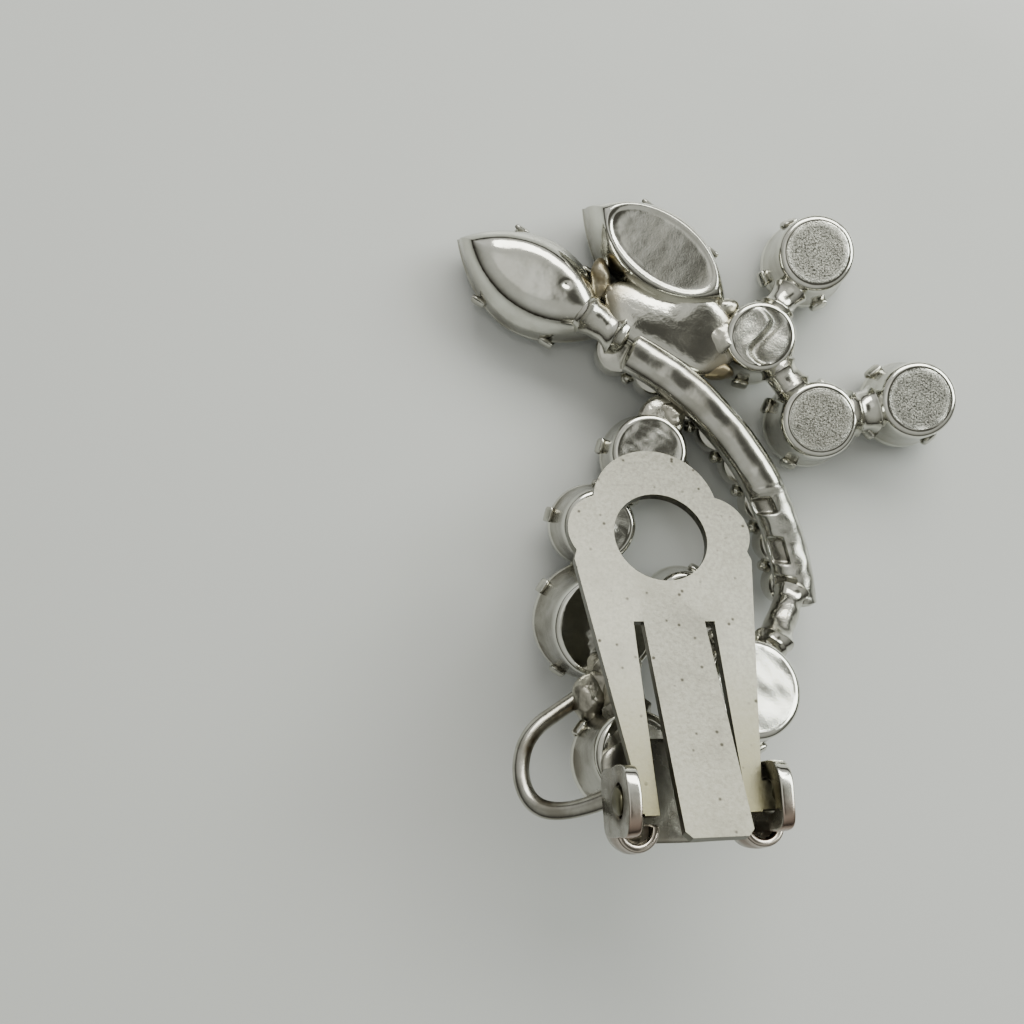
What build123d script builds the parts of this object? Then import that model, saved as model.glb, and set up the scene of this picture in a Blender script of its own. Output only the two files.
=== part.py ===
from build123d import *

import math
import os
from collections import namedtuple

# A clip on earring, lying on its stones with its back up, in millimetres. The floor is z = 0 and +Y runs
# from the clip's hinge to the two leaves. The tables measure from the middle of the leaf spray, and MIDDLE
# is the middle of the whole jewel's box in those measures, so the built part has its origin there.
MIDDLE = Vector(0.033, 1.299, -0.023)

# The wall of a pressed cup, the play round a stone, the soft edge of a cup's back, the height of a stone's
# seat above the rim, and the least metal between the point of the seat's cone and the back
CUP_WALL = 0.25
STONE_PLAY = 0.08
BACK_EDGE = 0.45
SEAT_RISE = 0.3
SEAT_TIP_RADIUS = 0.3
SEAT_ROOF = 0.75
STONE_ROOF = 1.15

# A prong: how wide and thick it is, how far it bends over the crown, how deep its foot stands in the cup's
# wall, how high the foot reaches, how far it stands proud of the wall, and the crown's slope in its run
PRONG_WIDTH = 0.9
PRONG_THICK = 0.25
PRONG_REACH = 0.5
PRONG_FOOT = 0.15
PRONG_CLIMB = 0.35
PRONG_PROUD = 0.16
CROWN_RUN = 0.45

# A cut that has to break through a face runs past it by this much
PAST = 0.01

# A round cup: the middle of its flat back, the back's radius, the lean of its axis as slopes in x and y,
# its depth, how much wider its rim is than its back, its stone's crown, and the turn of its four prongs
Cup = namedtuple("Cup", "x y z radius lean_x lean_y depth flare crown prong_turn")
CLIP_LEAN = (0.192, 0.335)
ROUND_CUPS = (
    Cup(6.10, 14.88, 3.90, 2.15, 0.00, 0.00, 3.0, 0.35, 0.9, 20),
    Cup(2.97, 10.19, 3.90, 2.00, 0.00, 0.00, 3.0, 0.35, 0.9, 75),
    Cup(6.27, 5.52, 3.90, 2.17, 0.00, 0.00, 3.0, 0.35, 0.9, 65),
    Cup(11.80, 6.66, 3.90, 2.15, 0.00, 0.00, 3.0, 0.35, 0.9, 40),
    Cup(-3.30, 3.75, 3.95, 2.15, 0.03, 0.07, 3.0, 0.35, 0.9, 75),
    Cup(-6.10, -0.43, 4.45, 2.07, 0.14, 0.00, 3.2, 0.35, 0.9, 75),
    Cup(-5.88, -5.91, 5.55, 2.86, 0.14, 0.00, 4.0, 0.60, 1.2, 55),
    Cup(-1.38, -4.73, 4.50, 1.82, 0.00, 0.05, 3.0, 0.30, 0.8, 60),
    Cup(-4.70, -11.60, 10.58, 2.25, *CLIP_LEAN, 3.6, 0.45, 1.1, 50),
    Cup(1.47, -8.68, 8.40, 2.60, *CLIP_LEAN, 3.8, 0.50, 1.1, 25),
)

# A pointed cup: the middle of its back, the turn of its length, and the crown of its stone
Leaf = namedtuple("Leaf", "x y z turn back_length back_width")
LEAVES = (
    Leaf(-9.72, 13.52, 4.2, -31.6, 6.4, 2.6),
    Leaf(-2.65, 14.94, 4.3, -36.6, 8.0, 3.7),
)
LEAF_LENGTH = 10.6
LEAF_WIDTH = 5.8
LEAF_RIM_Z = 1.05
LEAF_CROWN = 1.0
LEAF_STONE_DEPTH = 1.3
LEAF_SHOULDER_DROP = 1.1
LEAF_SHOULDER_SHORTER = 0.7
LEAF_SHOULDER_NARROWER = 0.5
LEAF_TIP_PLAY = 0.1
LEAF_PRONG_PLACES = (-2.3, 2.3)
LEAF_PRONG = ((-0.2, 0.4), (0.25, 0.4), (0.25, -0.35), (-0.9, -0.93), (-0.9, -0.68), (-0.2, -0.13))

# The stem: a strip on an arc, with a rounded bar on its back and eight small cups along its front
STEM_CENTRE = (-12.56, -6.26)
STEM_RADIUS = 17.6
STEM_FIRST_ANGLE = 62.0
STEM_LAST_ANGLE = 4.8
STEM_BAR_WIDTH = 2.2
STEM_BAR_TOP = 4.6
STEM_BAR_BOTTOM = 2.7
STEM_BAR_EDGE_DROP = 0.9
STEM_CUPS = 8
STEM_CUP_FIRST = 64.2
STEM_CUP_STEP = 8.0
STEM_CUP_RADIUS = 1.36
STEM_CUP_BOTTOM = 1.25
STEM_STONE_RADIUS = 1.05
STEM_STONE_CROWN = 0.5
STEM_STONE_DEPTH = 0.75
STEM_CUP_OVERLAP = 0.3
STEM_SEAT_BELOW = 0.6
STEM_SEAT_RISE = 0.1
STEM_GRAIN_RADIUS = 0.36
STEM_GRAIN_SIDE = 1.0
STEM_GRAIN_DROP = 0.3

# Solder necks between the pieces: both ends and the radius at each end
Neck = namedtuple("Neck", "x1 y1 z1 radius1 x2 y2 z2 radius2")
NECKS = (
    Neck(6.10, 14.88, 2.9, 1.0, 2.97, 10.19, 2.9, 1.0),
    Neck(2.97, 10.19, 2.9, 1.0, 6.27, 5.52, 2.9, 1.0),
    Neck(6.50, 5.57, 2.7, 1.1, 11.50, 6.60, 2.7, 1.1),
    Neck(-3.30, 3.75, 2.8, 0.9, -6.10, -0.43, 3.1, 0.9),
    Neck(-6.10, -0.43, 3.2, 1.0, -5.88, -5.91, 4.2, 1.1),
    Neck(-5.88, -5.91, 4.2, 1.0, -1.38, -4.73, 3.3, 0.9),
    Neck(-1.38, -4.73, 3.3, 0.9, 1.47, -8.68, 6.8, 1.1),
    Neck(4.80, -3.90, 3.6, 0.9, 2.20, -8.20, 6.7, 1.0),
    Neck(-5.70, -6.50, 4.3, 1.3, -4.80, -11.30, 9.0, 1.1),
    Neck(-9.72, 13.52, 3.1, 1.0, -4.60, 10.20, 3.0, 1.2),
)

# The webs of solder, each with its lower and upper face: the wide one between the leaves' lower ends, the
# second round cup and the top of the stem, and the short one from the fifth round cup to the stem
Web = namedtuple("Web", "bottom top corners")
WEBS = (
    Web(2.5, 3.8, (
        (-5.90, 12.60), (-4.70, 13.40), (-0.60, 12.60), (2.00, 11.20), (1.60, 8.60), (-0.60, 8.10),
        (-3.80, 9.50), (-5.60, 10.60),
    )),
    Web(2.8, 3.6, ((-4.40, 4.90), (-2.90, 7.30), (-1.00, 6.00), (-2.20, 3.60))),
)

# The clip's paddle: its hinge line, its slopes, and its outline, symmetric about its long axis
PIVOT = (-2.30, -12.87, 13.45)
PADDLE_SLOPES = (0.196, 0.547)
PADDLE_TURN = 4.56
SHEET = 0.5
PADDLE_EDGE_AT_PIVOT = 2.95
PADDLE_EDGE_SPREAD = 0.152
LEG_END = -0.75
SHOULDER_Y = 12.1
SIDE_LOBE_X = 2.85
SIDE_LOBE_Y = 13.75
SIDE_LOBE_RADIUS = 2.12
HEAD_LOBE_Y = 15.25
HEAD_LOBE_RADIUS = 3.42
HOLE_Y = 13.42
HOLE_RADIUS = 2.53
SLOT_TOP = 8.66
SLOT_OUTER = 2.13
TONGUE_HALF_WIDTH = 1.6
TONGUE_END = -2.25
TONGUE_LIFT = 8.3
TONGUE_CORNER = 0.3

# The clip's bracket: a tray with two ears, tipped ten degrees from the paddle about the hinge line
BRACKET_TIP = 10.0
PIVOT_HEIGHT = 2.4
TRAY_THICK = 0.5
TRAY_BACK = 3.0
TRAY_FRONT = -2.0
EAR_INNER = 3.3
EAR_THICK = 0.65
EAR_RISE = 1.6
EAR_HALF_WIDTH = 1.6
EAR_CORNER = 1.1
EAR_HOLE_RADIUS = 0.78
LUG_WIDTH = 1.3
LUG_REACH = 0.97
LUG_ROOT = 0.3
CURL_PLACES = ((-2.8, -1.25), (3.4, -1.25))
CURL_RADIUS = 1.1
CURL_WALL = 0.45
CURL_RISE = 1.5

# The wire loop at the side, as runs whose corners are rounded
WIRE_RADIUS = 0.47
WIRE_POINTS = (
    (-5.90, -8.60, 5.9), (-8.20, -10.00, 6.6), (-10.20, -11.20, 7.4), (-10.70, -13.20, 8.2),
    (-9.90, -14.70, 9.1), (-8.00, -14.60, 9.9), (-5.50, -13.35, 10.75),
)
WIRE_CORNERS = (1.6, 1.5, 1.2, 1.1, 1.3)

# Facets: a girdle has sixteen corners and a table eight. The rings of corners in between are given as
# shares of the stone's radius and of its crown or its depth.
GIRDLE_CORNERS = 16
TABLE_CORNERS = 8
GIRDLE_BAND = 0.06
TABLE_RADIUS = 0.55
STAR_RADIUS = 0.82
STAR_HEIGHT = 0.52
CONE_RADIUS = 0.5
CONE_HEIGHT = 0.55
LEAF_TABLE = (0.62, 0.5)
LEAF_STAR = (0.85, 0.8)
LEAF_KEEL = (0.5, 0.34)


def at(x, y, z):
    """Moves a measured place into the part's own frame."""
    return Vector(x, y, z) - MIDDLE


def cup_plane(cup):
    """The plane of a round cup's flat back, its normal pointing out of the back."""
    normal = Vector(cup.lean_x, cup.lean_y, 1).normalized()
    across = Vector(0, 1, 0).cross(normal).normalized()
    return Plane(origin=at(cup.x, cup.y, cup.z), x_dir=across, z_dir=normal)


def leaf_plane(leaf, z):
    """The plane at height z of a pointed cup, its x axis along the cup's length."""
    turn = math.radians(leaf.turn)
    return Plane(origin=at(leaf.x, leaf.y, z), x_dir=(math.cos(turn), math.sin(turn), 0), z_dir=(0, 0, 1))


def stone_radius(cup):
    """The girdle's radius of the stone that fits in a round cup's rim."""
    return cup.radius + cup.flare - CUP_WALL - STONE_PLAY


def stem_point(angle, side=0.0):
    """A place on the stem's arc in plan, side millimetres outside its middle line."""
    reach = STEM_RADIUS + side
    turn = math.radians(angle)
    return (STEM_CENTRE[0] + reach * math.cos(turn), STEM_CENTRE[1] + reach * math.sin(turn))


def stem_plane(index):
    """The plane of the rim of one of the stem's small cups, facing up."""
    x, y = stem_point(STEM_CUP_FIRST - STEM_CUP_STEP * index)
    return Plane(origin=at(x, y, STEM_CUP_BOTTOM), x_dir=(1, 0, 0), z_dir=(0, 0, 1))


def spun(plane, angle):
    """The plane turned by an angle in degrees about its own normal."""
    turn = math.radians(angle)
    across = plane.x_dir * math.cos(turn) + plane.y_dir * math.sin(turn)
    return Plane(origin=plane.origin, x_dir=across, z_dir=plane.z_dir)


def tipped(plane, angle):
    """The plane turned by an angle in degrees about its own x axis."""
    turn = math.radians(angle)
    normal = plane.z_dir * math.cos(turn) - plane.y_dir * math.sin(turn)
    return Plane(origin=plane.origin, x_dir=plane.x_dir, z_dir=normal)


def clip_plane(tip):
    """The plane through the hinge line, tipped by an angle in degrees from the paddle towards level."""
    slope_x, slope_y = PADDLE_SLOPES
    normal = Vector(slope_x, slope_y, 1).normalized()
    turn = math.radians(PADDLE_TURN)
    ahead = normal.cross(Vector(math.cos(turn), math.sin(turn), 0)).normalized()
    across = ahead.cross(normal)
    return tipped(Plane(origin=at(*PIVOT), x_dir=across, z_dir=normal), tip)


def leaf_outline(length, width):
    """Two equal arcs that meet in a point at each end, in the sketch that is open."""
    half = length / 2
    bulge = width / 2
    with BuildLine() as outline:
        ThreePointArc((-half, 0), (0, bulge), (half, 0))
        ThreePointArc((half, 0), (0, -bulge), (-half, 0))
    make_face(outline.edges())


def revolve_cup(cup, points, mode):
    """Turns a profile of (radius, height) corners about a round cup's axis."""
    plane = cup_plane(cup)
    side = Plane(origin=plane.origin, x_dir=plane.x_dir, z_dir=-plane.y_dir)
    with BuildSketch(side) as profile:
        with BuildLine():
            Polyline(*points, close=True)
        make_face()
    revolve(profile.sketch, axis=Axis(plane.origin, plane.z_dir), mode=mode)


def cup_body(cup):
    """The outside of a round cup: a flat back with a soft edge, and a wall that flares to its rim."""
    rim = cup.radius + cup.flare
    soft = 0.3 * BACK_EDGE
    revolve_cup(cup, (
        (0, 0), (cup.radius - BACK_EDGE, 0), (cup.radius - soft, -soft), (cup.radius, -BACK_EDGE),
        (cup.radius + 0.4 * cup.flare, -0.7 * cup.depth), (rim, -cup.depth), (0, -cup.depth),
    ), Mode.ADD)


def cup_hollow(cup):
    """The room for the stone: its seat at the rim and a cone under its point."""
    seat = cup.radius + cup.flare - CUP_WALL
    roof = cup.crown + SEAT_ROOF - cup.depth
    mouth = -cup.depth - PAST
    revolve_cup(cup, (
        (0, roof), (SEAT_TIP_RADIUS, roof), (seat, SEAT_RISE - cup.depth), (seat, mouth), (0, mouth),
    ), Mode.SUBTRACT)


def cup_prongs(cup):
    """The side faces of four tabs that run down from the rim and bend over the stone's crown."""
    plane = cup_plane(cup)
    girdle = stone_radius(cup)
    run = CROWN_RUN * girdle
    slope = Vector(-run, -(cup.crown - GIRDLE_BAND), 0).normalized()
    out = Vector(-slope.Y, slope.X, 0)
    start = Vector(girdle, -cup.depth - GIRDLE_BAND, 0)
    inner = start + out * STONE_PLAY
    outer = start + out * (STONE_PLAY + PRONG_THICK)
    tip_inner = inner + slope * PRONG_REACH
    tip_outer = outer + slope * PRONG_REACH
    foot = cup.radius + cup.flare - PRONG_FOOT
    proud = cup.radius + cup.flare + PRONG_PROUD
    climb = PRONG_CLIMB - cup.depth
    corners = (
        (foot, climb), (proud, climb), (proud, outer.Y), (outer.X, outer.Y - 3 * PAST),
        (tip_outer.X, tip_outer.Y), (tip_inner.X, tip_inner.Y), (inner.X, inner.Y),
        (foot, 2 * PAST - cup.depth),
    )
    profiles = []
    for quarter in range(4):
        turned = spun(plane, cup.prong_turn + 90 * quarter)
        side = Plane(origin=turned.origin, x_dir=turned.x_dir, z_dir=-turned.y_dir)
        with BuildSketch(side) as profile:
            with BuildLine():
                Polyline(*corners, close=True)
            make_face()
        profiles.append(profile.sketch.face())
    return profiles


def leaf_body(leaf):
    """The outside of a pointed cup, lofted from its rim to its narrower, softly edged back."""
    wall = leaf.z - LEAF_SHOULDER_DROP
    with BuildSketch(leaf_plane(leaf, LEAF_RIM_Z)) as rim:
        leaf_outline(LEAF_LENGTH, LEAF_WIDTH)
    with BuildSketch(leaf_plane(leaf, wall)) as shoulder:
        leaf_outline(LEAF_LENGTH - LEAF_SHOULDER_SHORTER, LEAF_WIDTH - LEAF_SHOULDER_NARROWER)
    with BuildSketch(leaf_plane(leaf, leaf.z)) as back:
        leaf_outline(leaf.back_length, leaf.back_width)
    loft((rim.sketch, shoulder.sketch), ruled=True)
    loft((shoulder.sketch, back.sketch), ruled=True)


def leaf_hollow(leaf):
    """The room for the pointed stone, open at the front."""
    along, across = LEAF_TABLE
    with BuildSketch(leaf_plane(leaf, LEAF_RIM_Z - PAST)) as mouth:
        leaf_outline(LEAF_LENGTH - 2 * (CUP_WALL + LEAF_TIP_PLAY), LEAF_WIDTH - 2 * CUP_WALL)
    with BuildSketch(leaf_plane(leaf, LEAF_RIM_Z + LEAF_STONE_DEPTH + SEAT_RISE)) as floor:
        leaf_outline(along * LEAF_LENGTH, across * LEAF_WIDTH)
    loft((mouth.sketch, floor.sketch), ruled=True, mode=Mode.SUBTRACT)


def leaf_prongs(leaf):
    """The side faces of four tabs over the pointed stone, two on each long side."""
    plane = leaf_plane(leaf, LEAF_RIM_Z)
    half = LEAF_WIDTH / 2
    profiles = []
    for along in LEAF_PRONG_PLACES:
        edge = half * (1 - (2 * along / LEAF_LENGTH) ** 2)
        for side in (-1, 1):
            corners = [(side * (edge + out), height) for out, height in LEAF_PRONG]
            place = Plane(
                origin=plane.from_local_coords((along, 0, 0)), x_dir=plane.y_dir, z_dir=plane.x_dir,
            )
            with BuildSketch(place) as profile:
                with BuildLine():
                    Polyline(*corners, close=True)
                make_face()
            profiles.append(profile.sketch.face())
    return profiles


def neck_between(neck):
    """A round neck of solder from one cup to the next."""
    start = at(neck.x1, neck.y1, neck.z1)
    end = at(neck.x2, neck.y2, neck.z2)
    run = end - start
    across = Vector(0, 0, 1).cross(run).normalized()
    for_start = Plane(origin=start, x_dir=across, z_dir=run.normalized())
    for_end = Plane(origin=end, x_dir=across, z_dir=run.normalized())
    with BuildSketch(for_start) as first:
        Circle(neck.radius1)
    with BuildSketch(for_end) as last:
        Circle(neck.radius2)
    loft((first.sketch, last.sketch), ruled=True)


def solder_web(web):
    """A flat web of solder of its own outline."""
    with BuildSketch(Plane(origin=at(0, 0, web.bottom))) as outline:
        with BuildLine():
            Polyline(*web.corners, close=True)
        make_face()
    extrude(outline.sketch, amount=web.top - web.bottom)


def stem_bar():
    """The rounded bar along the stem's back, revolved about the arc's centre."""
    centre = at(*STEM_CENTRE, 0)
    start = math.radians(STEM_LAST_ANGLE)
    radial = Vector(math.cos(start), math.sin(start), 0)
    side = Plane(origin=centre, x_dir=radial, z_dir=radial.cross(Vector(0, 0, 1)))
    inner = STEM_RADIUS - STEM_BAR_WIDTH / 2
    outer = STEM_RADIUS + STEM_BAR_WIDTH / 2
    edge = STEM_BAR_TOP - STEM_BAR_EDGE_DROP
    with BuildSketch(side) as profile:
        with BuildLine():
            Polyline((inner, edge), (inner, STEM_BAR_BOTTOM), (outer, STEM_BAR_BOTTOM), (outer, edge))
            ThreePointArc((outer, edge), (STEM_RADIUS, STEM_BAR_TOP), (inner, edge))
        make_face()
    sweep_angle = STEM_FIRST_ANGLE - STEM_LAST_ANGLE
    revolve(profile.sketch, axis=Axis(centre, (0, 0, 1)), revolution_arc=sweep_angle)


def stem_cup_bodies():
    """The small cups in a row along the front of the stem, with grains between them."""
    height = STEM_BAR_BOTTOM + STEM_CUP_OVERLAP - STEM_CUP_BOTTOM
    for index in range(STEM_CUPS):
        with BuildSketch(stem_plane(index)) as outline:
            Circle(STEM_CUP_RADIUS)
        extrude(outline.sketch, amount=height)
    for index in range(STEM_CUPS - 1):
        angle = STEM_CUP_FIRST - STEM_CUP_STEP * (index + 0.5)
        for side in (-STEM_GRAIN_SIDE, STEM_GRAIN_SIDE):
            x, y = stem_point(angle, side)
            with BuildSketch(Plane(origin=at(x, y, STEM_CUP_BOTTOM - STEM_GRAIN_DROP))) as grain:
                Circle(STEM_GRAIN_RADIUS)
            extrude(grain.sketch, amount=2 * STEM_GRAIN_RADIUS + STEM_GRAIN_DROP)


def stem_cup_hollows():
    """The cone shaped seats of the stem's small stones."""
    seat = STEM_STONE_RADIUS + STONE_PLAY
    for index in range(STEM_CUPS):
        plane = stem_plane(index)
        with BuildSketch(plane.offset(-STEM_SEAT_BELOW)) as mouth:
            Circle(seat)
        extrude(mouth.sketch, amount=STEM_SEAT_BELOW + STEM_SEAT_RISE, mode=Mode.SUBTRACT)
        with BuildSketch(plane.offset(STEM_SEAT_RISE)) as seat_top:
            Circle(seat)
        depth = STEM_STONE_DEPTH + STEM_SEAT_RISE
        extrude(seat_top.sketch, amount=depth, taper=45, mode=Mode.SUBTRACT)


def bracket():
    """The clip's tray, its two lower curls and its two ears."""
    tray = clip_plane(BRACKET_TIP).offset(-PIVOT_HEIGHT)
    outer = EAR_INNER + EAR_THICK
    with BuildSketch(tray) as tray_outline:
        with Locations((0, (TRAY_BACK + TRAY_FRONT) / 2)):
            Rectangle(2 * outer, TRAY_BACK - TRAY_FRONT)
        with Locations(*CURL_PLACES):
            Circle(CURL_RADIUS)
    extrude(tray_outline.sketch, amount=-TRAY_THICK)
    with BuildSketch(tray) as curls:
        with Locations(*CURL_PLACES):
            Circle(CURL_RADIUS)
            Circle(CURL_RADIUS - CURL_WALL, mode=Mode.SUBTRACT)
        with Locations((0, CURL_PLACES[0][1] + CURL_RADIUS)):
            Rectangle(4 * outer, 2 * CURL_RADIUS, mode=Mode.SUBTRACT)
    extrude(curls.sketch, amount=CURL_RISE)
    rise = PIVOT_HEIGHT + EAR_RISE
    for start in (-outer, EAR_INNER):
        side = Plane(origin=tray.from_local_coords((start, 0, 0)), x_dir=tray.y_dir, z_dir=tray.x_dir)
        with BuildSketch(side) as ear:
            with Locations((0, (rise - TRAY_THICK) / 2)):
                Rectangle(2 * EAR_HALF_WIDTH, rise + TRAY_THICK)
            fillet(ear.vertices().sort_by(Axis.Y)[-2:], radius=EAR_CORNER)
            with Locations((0, PIVOT_HEIGHT)):
                Circle(EAR_HOLE_RADIUS, mode=Mode.SUBTRACT)
        extrude(ear.sketch, amount=EAR_THICK)


def wire_loop():
    """The bent wire at the side, a round section carried along its runs and corners."""
    points = [at(*point) for point in WIRE_POINTS]
    with BuildLine() as path:
        FilletPolyline(*points, radius=WIRE_CORNERS)
    start = Plane(origin=path.line @ 0, z_dir=path.line % 0)
    with BuildSketch(start) as section:
        Circle(WIRE_RADIUS)
    sweep(section.sketch, path=path.line)


def ring_points(radius, height, corners, turn=0.0):
    """Evenly spaced corners on a circle."""
    step = 2 * math.pi / corners
    return [
        (radius * math.cos(turn + step * i), radius * math.sin(turn + step * i), height)
        for i in range(corners)
    ]


def cut_points(radius, crown, depth):
    """The corners of a round cut stone, its table at the bottom and its girdle at height zero."""
    half_step = math.pi / TABLE_CORNERS
    points = ring_points(TABLE_RADIUS * radius, -crown, TABLE_CORNERS)
    points += ring_points(STAR_RADIUS * radius, -STAR_HEIGHT * crown, TABLE_CORNERS, half_step)
    points += ring_points(radius, -GIRDLE_BAND, GIRDLE_CORNERS)
    points += ring_points(radius, 0, GIRDLE_CORNERS)
    points += ring_points(CONE_RADIUS * radius, CONE_HEIGHT * depth, TABLE_CORNERS, half_step)
    points.append((0, 0, depth))
    return points


def leaf_ring(length, width, height, shares=(1, 1)):
    """Twelve corners on a pointed outline, scaled in length and width: two tips and five along each arc."""
    half = shares[0] * length / 2
    bulge = shares[1] * width / 2
    points = []
    for i in range(-3, 4):
        x = half * i / 3
        y = bulge * (1 - (i / 3) ** 2)
        points.append((x, y, height))
        if 0 < y:
            points.append((x, -y, height))
    return points


def stone_solid(points, plane):
    """A cut stone from its corners, given in the plane's own axes."""
    ConvexPolyhedron([tuple(plane.from_local_coords(point)) for point in points])


os.makedirs("parts", exist_ok=True)

# The setting: cups, stem, solder, wire and the clip's bracket, soldered into one solid
with BuildPart() as setting:
    for cup in ROUND_CUPS:
        cup_body(cup)
    for leaf in LEAVES:
        leaf_body(leaf)
    for web in WEBS:
        solder_web(web)
    stem_bar()
    for neck in NECKS:
        neck_between(neck)
    stem_cup_bodies()
    bracket()
    wire_loop()
    for cup in ROUND_CUPS:
        cup_hollow(cup)
    for leaf in LEAVES:
        leaf_hollow(leaf)
    stem_cup_hollows()
    prongs = [face for cup in ROUND_CUPS for face in cup_prongs(cup)]
    prongs += [face for leaf in LEAVES for face in leaf_prongs(leaf)]
    extrude(prongs, amount=PRONG_WIDTH / 2, both=True)
setting.part.label = "setting"
export_step(setting.part, "parts/setting.step")
print("setting", len(setting.part.solids()), round(setting.part.volume, 2), setting.part.bounding_box())

# The stones, each in its own cup
for number, cup in enumerate(ROUND_CUPS, start=1):
    girdle = cup_plane(cup).offset(-cup.depth)
    with BuildPart() as round_stone:
        depth = cup.depth - cup.crown - STONE_ROOF
        stone_solid(cut_points(stone_radius(cup), cup.crown, depth), girdle)
    round_stone.part.label = f"round_stone_{number}"
    export_step(round_stone.part, f"parts/round_stone_{number}.step")

for number, leaf in enumerate(LEAVES, start=1):
    length = LEAF_LENGTH - 2 * (CUP_WALL + STONE_PLAY) - 3 * LEAF_TIP_PLAY
    width = LEAF_WIDTH - 2 * (CUP_WALL + STONE_PLAY)
    girdle = leaf_plane(leaf, LEAF_RIM_Z)
    with BuildPart() as navette_stone:
        stone_solid(
            leaf_ring(length, width, -LEAF_CROWN, LEAF_TABLE)
            + leaf_ring(length, width, -CONE_HEIGHT * LEAF_CROWN, LEAF_STAR)
            + leaf_ring(length, width, -GIRDLE_BAND)
            + leaf_ring(length, width, 0)
            + leaf_ring(length, width, LEAF_STONE_DEPTH, LEAF_KEEL),
            girdle,
        )
    navette_stone.part.label = f"navette_stone_{number}"
    export_step(navette_stone.part, f"parts/navette_stone_{number}.step")

for index in range(STEM_CUPS):
    girdle = stem_plane(index)
    with BuildPart() as stem_stone:
        stone_solid(cut_points(STEM_STONE_RADIUS, STEM_STONE_CROWN, STEM_STONE_DEPTH), girdle)
    stem_stone.part.label = f"stem_stone_{index + 1}"
    export_step(stem_stone.part, f"parts/stem_stone_{index + 1}.step")

# The paddle: a lobed sheet with a hole, two legs, a lifted tongue and a lug at the end of each leg
sheet = clip_plane(0).offset(SHEET / 2)
sheet_bottom = sheet.offset(-SHEET)
with BuildPart() as clip_paddle:
    shoulder_x = PADDLE_EDGE_AT_PIVOT + PADDLE_EDGE_SPREAD * SHOULDER_Y
    leg_x = PADDLE_EDGE_AT_PIVOT + PADDLE_EDGE_SPREAD * LEG_END
    with BuildSketch(sheet_bottom) as outline:
        with BuildLine():
            Polyline(
                (-leg_x, LEG_END), (leg_x, LEG_END), (shoulder_x, SHOULDER_Y), (shoulder_x - 1, HEAD_LOBE_Y),
                (1 - shoulder_x, HEAD_LOBE_Y), (-shoulder_x, SHOULDER_Y), close=True,
            )
        make_face()
        with Locations((0, HEAD_LOBE_Y)):
            Circle(HEAD_LOBE_RADIUS)
        with Locations((-SIDE_LOBE_X, SIDE_LOBE_Y), (SIDE_LOBE_X, SIDE_LOBE_Y)):
            Circle(SIDE_LOBE_RADIUS)
        with Locations((0, HOLE_Y)):
            Circle(HOLE_RADIUS, mode=Mode.SUBTRACT)
        with Locations((0, (SLOT_TOP + LEG_END) / 2)):
            Rectangle(2 * SLOT_OUTER, SLOT_TOP - LEG_END, mode=Mode.SUBTRACT)
    extrude(outline.sketch, amount=SHEET)
    root = Plane(
        origin=sheet_bottom.from_local_coords((0, SLOT_TOP, 0)), x_dir=sheet.x_dir, z_dir=sheet.z_dir,
    )
    with BuildSketch(tipped(root, -TONGUE_LIFT)) as tongue:
        with Locations((0, (TONGUE_END - SLOT_TOP + SHEET) / 2)):
            Rectangle(2 * TONGUE_HALF_WIDTH, SLOT_TOP + SHEET - TONGUE_END)
        chamfer(tongue.vertices().sort_by(Axis.Y)[:2], length=TONGUE_CORNER)
    extrude(tongue.sketch, amount=SHEET)
    for side in (-1, 1):
        start = side * (PADDLE_EDGE_AT_PIVOT - LUG_ROOT)
        lug_plane = Plane(
            origin=sheet.from_local_coords((start, 0, -SHEET / 2)), x_dir=sheet.y_dir, z_dir=sheet.x_dir,
        )
        with BuildSketch(lug_plane) as lug:
            Rectangle(LUG_WIDTH, SHEET)
        extrude(lug.sketch, amount=side * (LUG_REACH + LUG_ROOT))
clip_paddle.part.label = "clip_paddle"
export_step(clip_paddle.part, "parts/clip_paddle.step")
print("paddle", len(clip_paddle.part.solids()), round(clip_paddle.part.volume, 3))
print("paddle box", clip_paddle.part.bounding_box())
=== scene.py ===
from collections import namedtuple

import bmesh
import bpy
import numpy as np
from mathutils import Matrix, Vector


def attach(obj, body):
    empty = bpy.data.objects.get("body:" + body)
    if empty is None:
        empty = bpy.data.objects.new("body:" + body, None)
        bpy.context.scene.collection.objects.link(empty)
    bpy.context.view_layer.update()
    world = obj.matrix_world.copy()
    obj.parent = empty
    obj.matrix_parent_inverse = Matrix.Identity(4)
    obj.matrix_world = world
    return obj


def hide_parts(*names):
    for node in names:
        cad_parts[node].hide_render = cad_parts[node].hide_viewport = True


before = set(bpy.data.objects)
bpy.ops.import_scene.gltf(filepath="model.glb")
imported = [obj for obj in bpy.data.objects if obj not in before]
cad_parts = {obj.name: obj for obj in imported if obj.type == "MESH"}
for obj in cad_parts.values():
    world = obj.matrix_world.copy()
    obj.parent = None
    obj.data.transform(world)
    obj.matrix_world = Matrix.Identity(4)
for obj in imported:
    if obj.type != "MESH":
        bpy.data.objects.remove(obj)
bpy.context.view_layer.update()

# %% [markdown]
# A clip on earring lies on its stones, back up. From this side nothing is pretty on purpose: the backs of
# the pressed cups, the solder that joins them, the cast stem and the clip. It could be sculpted by hand, or
# voxel remeshed into one lump. Here each part is a closed surface worked out from its own few sizes, so that
# a cup stays a cup, with a crisp rim, and its finish can be painted with masks that belong to it.

MM = 0.001
MIDDLE = np.array((0.033, 1.299, -0.023))
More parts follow.
